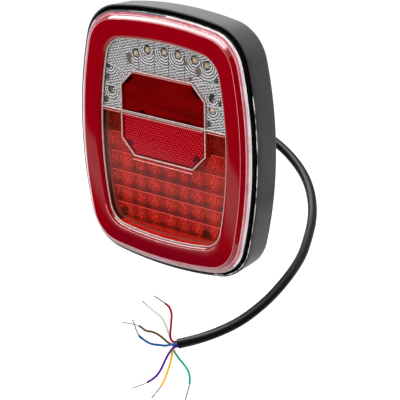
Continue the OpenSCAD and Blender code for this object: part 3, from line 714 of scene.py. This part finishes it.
inner_line, outer_line = window(-3.0), ring(2.9)
ring_rows = rows_on(window, (-0.5, 27.4), (-0.55, 29.3), (-1.0, 30.2), (-1.6, 31.1), (-2.1, 31.45))
ring_rows += rows_on(window, (-2.4, 31.58), (-3.0, 31.68))
for t in (0.15, 0.3, 0.45, 0.6, 0.75, 0.88):
    ring_rows.append((inner_line * (1 - t) + outer_line * t, 31.7 + 0.3 * math.sin(math.pi * 0.5 * t)))
ring_rows += rows_on(ring, (2.9, 32.0), (2.5, 31.95), (2.2, 31.8), (1.9, 31.45), (1.2, 30.4), (0.6, 29.4))
ring_rows += rows_on(ring, (0.2, 28.7), (0.1, 28.3), (0.1, 27.4))
red_ring = loft("red_ring", ring_rows, M["ring_red"], closed=True, sharp=40)
place(red_ring, "ring_red", "ring_lens")


def ridge(name, line, inset, d, r, material):
    """Thin round line on an outline, all the way round."""
    around = np.radians(np.arange(0, 360, 60))
    rows = rows_on(line, *[(inset + r * math.cos(a), d + r * math.sin(a)) for a in around])
    return loft(name, rows, material, closed=True, sharp=80)


# Painted highlight: a thin pink line along the ring's rounded front edge
place(ridge("ring_edge_highlight", ring, 2.62, 31.9, 0.17, M["pink_edge"]), "ring_red")
# Painted highlight: a light pink line where the ring meets the border
place(ridge("ring_seam_highlight", ring, -0.1, 28.5, 0.4, M["pink_seam"]), "clear_lens")
# Painted highlight: a white line along the border's rounded outer edge
place(ridge("border_edge_highlight", rim, 4.45, 27.0, 0.26, M["edge_white"]), "clear_lens")
# Painted highlight: a thin pink line along the ring's inner edge at the bottom
low_arc = arc_of(window(-2.5), lambda x, z: z < -58 and x < 50)
place(strand("ring_inner_highlight", [(x, 31.55, z) for x, z in low_arc], 0.24, M["pink_edge"]), "ring_red")

bead_rows = rows_on(window, (0.38, 27.0), (0.38, 28.95), (0.3, 29.25), (0.1, 29.4), (-0.18, 29.4))
bead_rows += rows_on(window, (-0.42, 29.3), (-0.52, 29.0), (-0.52, 27.0))
bead = loft("window_weld", bead_rows, M["bead"], closed=True, sharp=50)
place(bead, "weld_bead", "window_bead")

oct_rows = rows_on(octagon, (-0.39, 26.8), (-0.39, 29.0), (-0.28, 29.3), (0.0, 29.42), (0.28, 29.3))
oct_rows += rows_on(octagon, (0.39, 29.0), (0.39, 26.8))
place(loft("octagon_weld", oct_rows, M["bead"], closed=True, sharp=50), "weld_bead", "divider_bead")


# Cross-section of a thin bar: seven heights from its lower to its upper edge
BAR_PROFILE = (-0.6, 0.0, 0.16, 0.22, 0.16, 0.0, -0.6)


def hatched_bar(x0, x1, z0, z1, d, hatch=0.0, pitch=2.0, step=0.25):
    """Thin rounded bar along X, its face hatched with slanted waves where hatch isn't 0."""
    xs = np.arange(x0, x1 + step / 2, step)
    n = len(BAR_PROFILE)
    verts = []
    for x in xs:
        for j, z in enumerate(np.linspace(z0, z1, n)):
            slant = math.sin(2 * math.pi * (x - 1.2 * (z - z0)) / pitch)
            verts.append((x, -(d + BAR_PROFILE[j] + (hatch * slant if 0 < j < n - 1 else 0)), z))
    corners = [i * n + j for i in range(len(xs) - 1) for j in range(n - 1)]
    return verts, [(a, a + 1, a + n + 1, a + n) for a in corners]


bars = [hatched_bar(-39.2, 39.2, z0, z1, 29.2, 0.05, 1.9) for z0, z1 in ((17.35, 18.1), (16.2, 16.75))]
bars += [hatched_bar(x0, x1, 16.6, 17.8, 29.1) for x0, x1 in ((-58.6, -39.8), (39.8, 58.6))]
bar = merge("divider_bars", bars, M["bead"], sharp=60)
place(bar, "weld_bead")
groove = merge("divider_groove", [hatched_bar(-39, 39, 16.6, 17.5, 29.0, 0.12, 1.9)], M["bar_dark"], sharp=60)
place(groove, "weld_bead")

# Painted highlights: thin pink lines on the panes' stepped edges, each x0, x1, z0, z1
PANE_LIP_HIGHLIGHTS = (
    (-38.3, 37.5, 14.6, 15.3), (-27.5, 26.5, 47.75, 48.5), (-29.5, 27.5, -19.0, -18.2),
    (-57.5, -41, 15.0, 15.6), (41, 57.5, 15.0, 15.6),
)
pink = [hatched_bar(*lip, 28.95) for lip in PANE_LIP_HIGHLIGHTS]
place(merge("pane_lip_highlights", pink, M["pink_edge"], sharp=60), "lens_red")


# ---- panes
def cut(pts, limit, side):
    """Part of a polygon above the height limit (side 1) or below it (side -1)."""
    out = []
    corners = [tuple(q) for q in pts]
    for i, b in enumerate(corners):
        a = corners[i - 1]
        a_in, b_in = ((q[1] - limit) * side >= 0 for q in (a, b))
        if a_in != b_in:
            t = (limit - a[1]) / (b[1] - a[1])
            out.append((a[0] + t * (b[0] - a[0]), limit))
        if b_in:
            out.append(b)
    return out


def arch(limit, side):
    """Outline of the window less the octagon above or below limit: outer run, then inner run back."""
    runs = []
    for line in (window(PANE_GAP), octagon(-PANE_GAP)):
        pts = cut(line, limit, side)
        level = [abs(z - limit) < 1e-6 for x, z in pts]
        first = 1 + [i for i in range(len(pts)) if level[i] and level[(i + 1) % len(pts)]][0]
        runs.append(pts[first:] + pts[:first])
    return runs[0] + runs[1][::-1]


# Gap round each pane, lower edge of the upper panes, upper edge of the lower panes
PANE_GAP, UPPER_EDGE, LOWER_EDGE = 0.5, 17.6, 16.8
fog_pts = cut(octagon(PANE_GAP), UPPER_EDGE, 1)
reflex_pts = cut(octagon(PANE_GAP), LOWER_EDGE, -1)
upper_pts = arch(UPPER_EDGE, 1)
lower_pts = arch(LOWER_EDGE, -1)
place(prism("fog_pane", fog_pts, 28.2, 29.0, M["fog_pane"]), "lens_dark_red", "fog_lens")
place(prism("reflex_pane", reflex_pts, 28.4, 29.0, M["reflex_pane"]), "lens_dark_red", "reflex_reflector")
place(prism("lower_pane", lower_pts, 28.2, 29.0, M["red_pane"], 0.2), "lens_red", "lower_lens")
place(prism("upper_pane", upper_pts, 28.2, 29.0, M["clear_pane"], 0.2), "clear_lens", "upper_lens")


# ---- relief surfaces
def relief(name, mask, height, slot_of, looks, z0, z1, step, base_d):
    """Height field in front of base_d over the places where mask is true."""
    half_w = WINDOW[0]
    xs, zs = np.arange(-half_w, half_w + step / 2, step), np.arange(z0, z1 + step / 2, step)
    x, z = np.meshgrid(xs, zs, indexing="ij")
    keep = mask(x, z)
    number = np.full(x.shape, -1)
    number[keep] = np.arange(keep.sum())
    verts = np.stack([x[keep], -(base_d + height(x, z)[keep]), z[keep]], 1)
    i, j = np.nonzero(keep[:-1, :-1] & keep[1:, :-1] & keep[1:, 1:] & keep[:-1, 1:])
    faces = np.stack([number[i, j], number[i + 1, j], number[i + 1, j + 1], number[i, j + 1]], 1)
    slots = slot_of(x[i, j] + step / 2, z[i, j] + step / 2)
    return mesh_object(name, verts, [tuple(map(int, f)) for f in faces], [M[k] for k in looks], 20, slots)


def wobble(x, z, k=1.0):
    """Smooth repeatable unevenness between -1 and 1."""
    waves = np.sin(x * 1.7 * k + 0.6 * z * k) + np.sin(z * 2.3 * k - 0.9 * x * k + 1.1)
    return (waves + np.sin((x + z) * 0.83 * k + 2.0)) / 3


top_leds = [(-25.2, 63.0), (-14.1, 67.2), (1.7, 68.0), (14.6, 68.0), (30.0, 66.8), (40.9, 64.7)]
side_leds = [(45.5, 32.8), (45.7, 41.2), (-51, 49.5), (-50, 31)]
bullseyes = top_leds + side_leds
dividers = (-22.9, -7.9, 5.4, 20.1)
# Heights that split the cells at the arch's feet, under the slanted seams
LEFT_SPLIT, RIGHT_SPLIT = 34.7, 35.5


def left_seam(x):
    return 50.8 - (x + 52) * 0.23


def right_seam(x):
    return 49.3 + (x - 31.5) * 0.15


def upper_mask(x, z):
    return inside(window(0.2), x, z) & ~inside(octagon(-0.2), x, z) & (z > 17.2)


def cell_number(x, z):
    """Which cell of the clear arch a place is in: 0 to 4 along the top, 10 and 11 left, 12 and 13 right."""
    left_low = (x < -30) & (z < left_seam(x))
    right_low = (x > 30) & (z < right_seam(x))
    cell = np.where(left_low, 10, np.where(right_low, 12, np.digitize(x, dividers)))
    cell = np.where(left_low & (z < LEFT_SPLIT), 11, cell)
    return np.where(right_low & (z < RIGHT_SPLIT), 13, cell)


led_cells = [int(cell_number(np.array([x]), np.array([z]))[0]) for x, z in bullseyes]


def nearest_led(x, z):
    """Distance to the nearest LED, its place, and the cell; an LED of the same cell comes first."""
    cell = cell_number(x, z)
    best = np.full(x.shape, 1e9)
    bx, bz = np.zeros(x.shape), np.zeros(x.shape)
    for (lx, lz), c in zip(bullseyes, led_cells):
        d = np.hypot(x - lx, z - lz) + np.where(cell == c, 0, 60)
        near = d < best
        best, bx, bz = np.where(near, d, best), np.where(near, lx, bx), np.where(near, lz, bz)
    return np.hypot(x - bx, z - bz), bx, bz, cell


def smooth(t, a, b):
    """0 below a, 1 above b and an S-curve between."""
    u = np.clip((t - a) / (b - a), 0, 1)
    return u * u * (3 - 2 * u)


def weave(x, z):
    """Fine slanted pattern of the prisms."""
    strength = 0.55 + 0.45 * np.sin(2 * math.pi * (x + 0.45 * z) / 4.2)
    return np.sin(2 * math.pi * (z - 0.3 * x) / 2.0) * strength


def arcs(x, z):
    """Share and phase of the curved prisms round an LED, and the finer weave elsewhere."""
    r, bx, bz, cell = nearest_led(x, z)
    reach = np.where(cell >= 10, 6.5, 10.5)
    w = smooth(r, 2.2, 3.0) * (1 - smooth(r, reach, reach + 3.5))
    w = w * np.where((x < -31) & (z > 51), 0.25, 1) * (1 - 0.85 * smooth(z - bz, -1.5, 1.5))
    w = w * (0.75 + 0.35 * wobble(x, z, 0.9))
    return w, np.cos(2 * math.pi * (r + 0.22 * wobble(x, z, 0.7)) / 2.1), r, bx, bz


def upper_height(x, z):
    w, stripe, r, bx, bz = arcs(x, z)
    return 0.2 * w * stripe + 0.16 * (1 - w) * weave(x, z) + 0.04 * wobble(x, z)


# Spots behind the clear arch: x, z, radius
DARK_SPOTS = (
    (-54.2, 40.3, 2.2), (-55.8, 22.8, 2.2), (42.2, 22.0, 1.8), (52.3, 38.8, 1.6),
    (49.3, 54.5, 1.8), (45.7, 41.2, 1.4), (-31.5, 55.8, 1.6),
)
BROWN_SPOTS = ((-32.2, 59.2, 2.6), (33.0, 58.7, 2.6), (21.6, 63.4, 1.8), (-50, 31, 1.5), (25.5, 52.5, 1.6))


def upper_slots(x, z):
    """Painted tone of each place behind the clear arch, standing for the prisms' reflections and shade: 0 is
    white, 4 is dark and 5 is brown.
    """
    w, stripe, r, bx, bz = arcs(x, z)
    fine = weave(x, z) + 0.4 * np.sin(2 * math.pi * (1.1 * x - 0.8 * z) / 2.3 + 2 * wobble(x, z, 0.5))
    # Painted light on the prisms' crests and painted shade in their hollows
    light = 0.6 + 0.85 * w * stripe + 0.75 * (1 - 0.75 * w) * fine
    light = light + 0.2 * wobble(x, z, 1.3) + 0.1 * wobble(z, x, 3.1)
    # Painted shadow on the left of and below each LED
    light = np.where((x - bx + 0.6 * (bz - z) < 0.8) & (r < 3.7), 0.05, light)
    for spot_x, spot_z, spot_r in DARK_SPOTS:
        away = np.hypot(x - spot_x, (z - spot_z) * 0.85)
        light = light - 0.75 * (1 - smooth(away, spot_r * 0.6, spot_r * 1.4))
    shade = np.digitize(-light, [-0.8, -0.6, -0.4, -0.2])
    for spot_x, spot_z, spot_r in BROWN_SPOTS:
        away = np.hypot(x - spot_x, (z - spot_z) * 0.8)
        shade = np.where(away < spot_r * (1 + 0.25 * wobble(x, z, 3)), 5, shade)
    for divider in dividers:
        shade = np.where((np.abs(x - divider) < 0.3) & (z > 49.5), 4, shade)
    # Painted shadow round the upper LEDs, except on their right
    by_led = (np.abs(x - bx) < 2.9) & (np.abs(z - bz) < 3.0) & (x < bx + 2.2) & (bz > 55)
    shade = np.where(by_led & (shade < 3), 4, shade)
    # Distance from each seam, made large past the seam's end
    for off in (left_seam(x) - z + 100 * (x > -35), z - LEFT_SPLIT + 100 * (x > -42),
                right_seam(x) - z + 100 * (x < 31), z - RIGHT_SPLIT + 100 * (x < 40)):
        shade = np.where(np.abs(off) < 0.45, 0, np.where(np.abs(off) < 0.85, 3, shade))
    return shade


upper_looks = ("facet_white", "facet_light", "facet_mid", "facet_dim", "facet_dark", "facet_brown")
upper = relief("clear_optics", upper_mask, upper_height, upper_slots, upper_looks, 17, 75, 0.3, 27.5)
place(upper, "tray_silver")

bulbs, cores = [], []
for lx, lz in top_leds + side_leds[:1]:
    bulbs.append(block(lx - 2.0, lx + 2.0, lz - 2.1, lz + 2.1, 27.2, 28.0, 0.3))
    cores.append(spun([(1.0, 27.8), (0.95, 28.05), (0.7, 28.12), (0.01, 28.15)], (lx + 0.15, lz), 20))
place(merge("led_images", bulbs, M["led_amber"], sharp=30), "led_amber")
place(merge("led_centres", cores, M["led_core"], sharp=50), "led_amber")

# Lower optic: columns of upright ellipses in five rows, sunk behind the red pane
COLUMN_W, COLUMN_X, ROW_Z = 13.9, 0.4, (-2.6, -17.9, -32.6, -45.1, -57.6, -70.5)


def lower_mask(x, z):
    return inside(window(1.1), x, z) & ~inside(octagon(-0.2), x, z) & (z < 16.4)


def cell_of(x, z):
    """Column centre, share of the way down the row, and the row's height."""
    centre = np.clip(np.round((x - COLUMN_X) / COLUMN_W), -4, 4) * COLUMN_W + COLUMN_X
    top, bottom = np.full(x.shape, 15.0), np.full(x.shape, ROW_Z[0])
    for a, b in zip(ROW_Z[:-1], ROW_Z[1:]):
        top, bottom = np.where(z <= a, a, top), np.where(z <= a, b, bottom)
    return centre, (top - z) / (top - bottom), top - bottom


def ellipses(x, z):
    centre, down, tall = cell_of(x, z)
    away = np.hypot(x - centre, (down - 0.35) * tall * 0.4)
    return centre, down, tall, np.cos(2 * math.pi * away / 1.85)


def lower_height(x, z):
    centre, down, tall, stripe = ellipses(x, z)
    w = 1 - smooth(down, 0.6, 0.75)
    return 0.2 * w * stripe + 0.14 * (1 - w) * weave(x, z) + 0.5 * (1 - down) + 0.03 * wobble(x, z)


def lower_slots(x, z):
    """Painted tone of each place in the red optic, from 0, a painted glint, to 4, dark."""
    centre, down, tall, stripe = ellipses(x, z)
    u = (x - centre) / (COLUMN_W / 2)
    outer, low, deep = np.abs(x) > 35, z < ROW_Z[0], z < ROW_Z[1]
    light = 0.42 + 0.3 * np.exp(-((u / 0.6) ** 2) - ((down - 0.35) / 0.36) ** 2) * low
    light = light + 0.22 * stripe * (1 - smooth(down, 0.6, 0.8)) * np.exp(-((u / 0.85) ** 2))
    upright = np.sin(2 * math.pi * (x + 0.6 * wobble(x, z, 1.1)) / 1.9)
    light = light + 0.34 * upright * (0.4 + 0.6 * (down < 0.7))
    light = light + 0.16 * weave(x, z) + 0.16 * wobble(x, z, 1.6) + 0.08 * wobble(z, x, 3.3)
    # Painted shadow along the bottom of each row
    light = light - 0.16 * smooth(down, 0.62, 0.74) * (1 - smooth(down, 0.9, 1.0)) * low * (1 - 0.5 * outer)
    # Painted shadow: a dark spot between each two columns, near the bottom of the row
    beside = (((np.abs(u) - 1) * COLUMN_W / 2) / 3.0) ** 2
    light = light - 0.34 * np.exp(-beside - ((down - 0.74) * tall / 2.4) ** 2) * deep
    light = light + 0.08 * outer * low - 0.14 * ~low - 0.14 * (x < -51) + 0.25 * (z < -69)
    # Painted highlights: short light ticks beside each column's middle
    tick = np.abs(x - centre - 0.9 * np.sign(np.sin(z * 1.1))) < 0.35
    light = np.where(tick & (down > 0.12) & (down < 0.45) & deep, light + 0.4, light)
    for post_x, post_z in ((-43.2, -64.1), (36.0, -65.1)):
        light = light - 0.9 * (1 - smooth(np.hypot(x - post_x, z - post_z), 2.4, 4.6))
    return np.digitize(-light, [-0.92, -0.64, -0.42, -0.22])


lower_looks = ("optic_glint", "optic_bright", "optic_mid", "optic_dim", "optic_dark")
lower = relief("stop_optics", lower_mask, lower_height, lower_slots, lower_looks, -75, 17, 0.4, 22.8)
place(lower, "optic_red", "lower_optic")

# Painted highlights: light lines on the seams between the rows, and short ones beside the octagon
lines = []
for z in ROW_Z[1:5]:
    half = 0.5 * (np.interp(-z, [0, 30, 50, 60], [110, 108, 103, 98]))
    lines.append(hatched_bar(-half, half, z - 0.28, z + 0.28, 23.9, step=1.0))
lines += [hatched_bar(x0, x1, -2.9, -2.3, 23.9, step=1.0) for x0, x1 in ((-54, -41.5), (41.5, 54))]
seams = merge("optic_seam_highlights", lines, M["pink_edge"], sharp=60)
place(seams, "optic_red")

wall_rows = rows_on(window, (0.5, 28.3), (0.9, 22.6), (0.9, 22.0), (0.5, 22.0))
# Painted light and shade: the window's wall is bright red along the bottom, where light falls, and dark above
wall_looks = [M["wall_red"], M["wall_brown"]]
wall = loft("window_wall", wall_rows, wall_looks, closed=True, sharp=30, slot_of=lambda x, z: int(z >= -70))
place(wall, "optic_red")
octagon_wall_rows = rows_on(octagon, (-0.45, 28.3), (-0.3, 22.0), (0.5, 22.0), (0.5, 28.3))
octagon_wall = loft("octagon_wall", octagon_wall_rows, M["optic_mid"], closed=True, sharp=30)
place(octagon_wall, "optic_red")

# Fog window's back with its posts, and the reflex cells
fog_back = prism("fog_back", cut(octagon(0.9), 18.0, 1), 25.6, 26.6, M["fog_back"])
place(fog_back, "lens_dark_red")
posts = [spun([(3.0, 25.8), (3.0, 27.9), (2.6, 28.15), (0.01, 28.15)], (x, 16.9), 28) for x in (-21.2, 21.9)]


def slot_post(cx, cz, angle, half_l, half_w):
    """Rounded bar across a corner of the octagon."""
    c, s = math.cos(math.radians(angle)), math.sin(math.radians(angle))
    corners = [(-half_l, -half_w), (half_l, -half_w), (half_l, half_w), (-half_l, half_w)]
    pts = [(cx + c * x - s * z, cz + s * x + c * z) for x, z in rounded(corners, half_w * 0.8)]
    return [(x, -d, z) for d in (25.8, 28.0) for x, z in pts], grid_faces(2, len(pts))


# Posts across the corners: x, z, angle, half length, half width
CORNER_POSTS = (
    (30.6, 42.4, -38, 4.2, 1.5), (-33.2, 41.4, 42, 3.2, 1.1),
    (-32.4, -6.4, -40, 2.8, 1.7), (30.0, -7.0, 38, 3.2, 2.0),
)
posts += [slot_post(*corner_post) for corner_post in CORNER_POSTS]
place(merge("lens_posts", posts, M["post_dark"]), "lens_dark_red")

CELL_PITCH, CELL_ROWS, CELL_COLUMNS = 2.15, 16, 18
field = cut(octagon(2.2), 14.2, -1)
cells = []
for row in range(CELL_ROWS):
    z = 13.2 - row * CELL_PITCH * math.sqrt(3) / 2
    for column in range(-CELL_COLUMNS, CELL_COLUMNS + 1):
        x = (column + 0.5 * (row % 2)) * CELL_PITCH
        if inside(field, np.array([x]), np.array([z]))[0]:
            cells.append(spun([(0.85, 27.6), (0.62, 27.85), (0.35, 28.05), (0.01, 28.1)], (x, z), 6))
place(merge("reflex_cells", cells, M["reflex_dot"], sharp=15), "lens_dark_red")
place(prism("reflex_plate", cut(octagon(0.9), 16.4, -1), 26.6, 27.7, M["reflex_base"]), "lens_dark_red")

# ---- looks of the CAD nodes carried over
LOOK_OF_SLOT = {
    "lens_red": "red_pane", "lens_dark_red": "fog_pane", "optic_red": "optic_mid", "weld_bead": "bead",
}
for name, o in frame["nodes"].items():
    slot = record_slots.get(name)
    look = LOOK_OF_SLOT.get(slot, slot)
    if look in M and o.material_slots:
        for each in o.material_slots:
            each.material = M[look]
    elif look in M:
        o.data.materials.append(M[look])

# ---- stage and light, in metres
floor_m = plastic("floor", (0.93, 0.93, 0.93), (0.95, 0.95, 0.95), (0.6, 0.7), scale=3)
FLOOR_Z, FLOOR_BACK, BEND_R = -0.40, 2.2, 1.2
profile = [(-6.0, FLOOR_Z), (FLOOR_BACK, FLOOR_Z)]
profile += [(FLOOR_BACK + BEND_R * math.sin(a), FLOOR_Z + BEND_R * (1 - math.cos(a))) for a in QUARTER_TURN]
profile.append((FLOOR_BACK + BEND_R, 5.0))
verts = [(x, y, z) for y, z in profile for x in (-9, 9)]
faces = [(2 * i, 2 * i + 1, 2 * i + 3, 2 * i + 2) for i in range(len(profile) - 1)]
floor = mesh_object("floor", verts, faces, floor_m, sharp=60, unit=1)


def glow_material():
    """Black card with a band of light: bright between two heights, which tilt a little along X."""
    material = bpy.data.materials.new("card")
    material.use_nodes = True
    nt = material.node_tree
    shader = fill(nt.nodes["Principled BSDF"], Base_Color=(0, 0, 0, 1), Roughness=1.0)
    fill(shader, Specular_IOR_Level=0.0, Emission_Strength=0.8)
    axes = object_axes(nt)
    tilt = maths(nt, "MULTIPLY_ADD", 0.1)
    link(nt, axes["X"], tilt.inputs[0])
    link(nt, axes["Z"], tilt.inputs[2])
    height = ranged(nt, tilt.outputs["Value"], From_Min=-0.26, From_Max=-0.1)
    levels = ((0.28, 0.0), (0.46, 1.0), (0.68, 0.8), (0.73, 0.0))
    band = colour_ramp(nt, height, [(at, (light, light, light)) for at, light in levels])
    link(nt, band, shader.inputs["Emission Color"])
    return material


def reflection_card(name, corners, material):
    """Card that only reflections show."""
    o = mesh_object(name, corners, [(0, 1, 2, 3)], material, unit=1)
    o.visible_camera = False
    o.visible_diffuse = False
    o.visible_shadow = False
    o.visible_transmission = False
    return o


FRONT_Y, RIGHT_X, CARD_FOOT = -0.30, 0.45, -0.39
corners = [(-0.9, FRONT_Y, CARD_FOOT), (0.3, FRONT_Y, CARD_FOOT), (0.3, FRONT_Y, 0.7), (-0.9, FRONT_Y, 0.7)]
card = reflection_card("dark_card", corners, glow_material())
side_m = plastic("side_card", (0, 0, 0), (0.002, 0.002, 0.002), (1.0, 1.0), scale=20, spec=0.0)
corners = [(RIGHT_X, -0.8, CARD_FOOT), (RIGHT_X, 0.6, CARD_FOOT), (RIGHT_X, 0.6, 0.4), (RIGHT_X, -0.8, 0.4)]
side_card = reflection_card("side_card", corners, side_m)

world = bpy.data.worlds.new("world")
scene.world = world
world.use_nodes = True
bg = world.node_tree.nodes["Background"]
bg.inputs["Color"].default_value = (1, 1, 1, 1)
bg.inputs["Strength"].default_value = 1.0


def area(name, where, target, size, radiance):
    """Rectangular soft light; radiance is its brightness beside a white surface in full light."""
    lamp = bpy.data.lights.new(name, "AREA")
    lamp.shape = "RECTANGLE"
    lamp.size, lamp.size_y = size
    lamp.energy = radiance * math.pi * size[0] * size[1]
    o = bpy.data.objects.new(name, lamp)
    scene.collection.objects.link(o)
    o.location = where
    o.rotation_euler = (Vector(target) - Vector(where)).to_track_quat("-Z", "Y").to_euler()
    return o


area("overhead", (0.1, -0.3, 1.5), (0, 0, 0), (1.4, 1.0), 3.2)
glow = area("overhead_glow", (-0.55, -0.02, 1.1), (-0.55, -0.02, 0), (2.2, 0.75), 14)
glow.visible_diffuse = False
area("back_left", (-0.95, 1.15, 0.55), (0, 0, 0), (1.3, 0.8), 1.2)
area("front_left", (-1.2, -1.4, 0.9), (0, 0, 0), (0.9, 0.9), 2.5)
scene.view_settings.view_transform = "Standard"
scene.view_settings.look = "None"
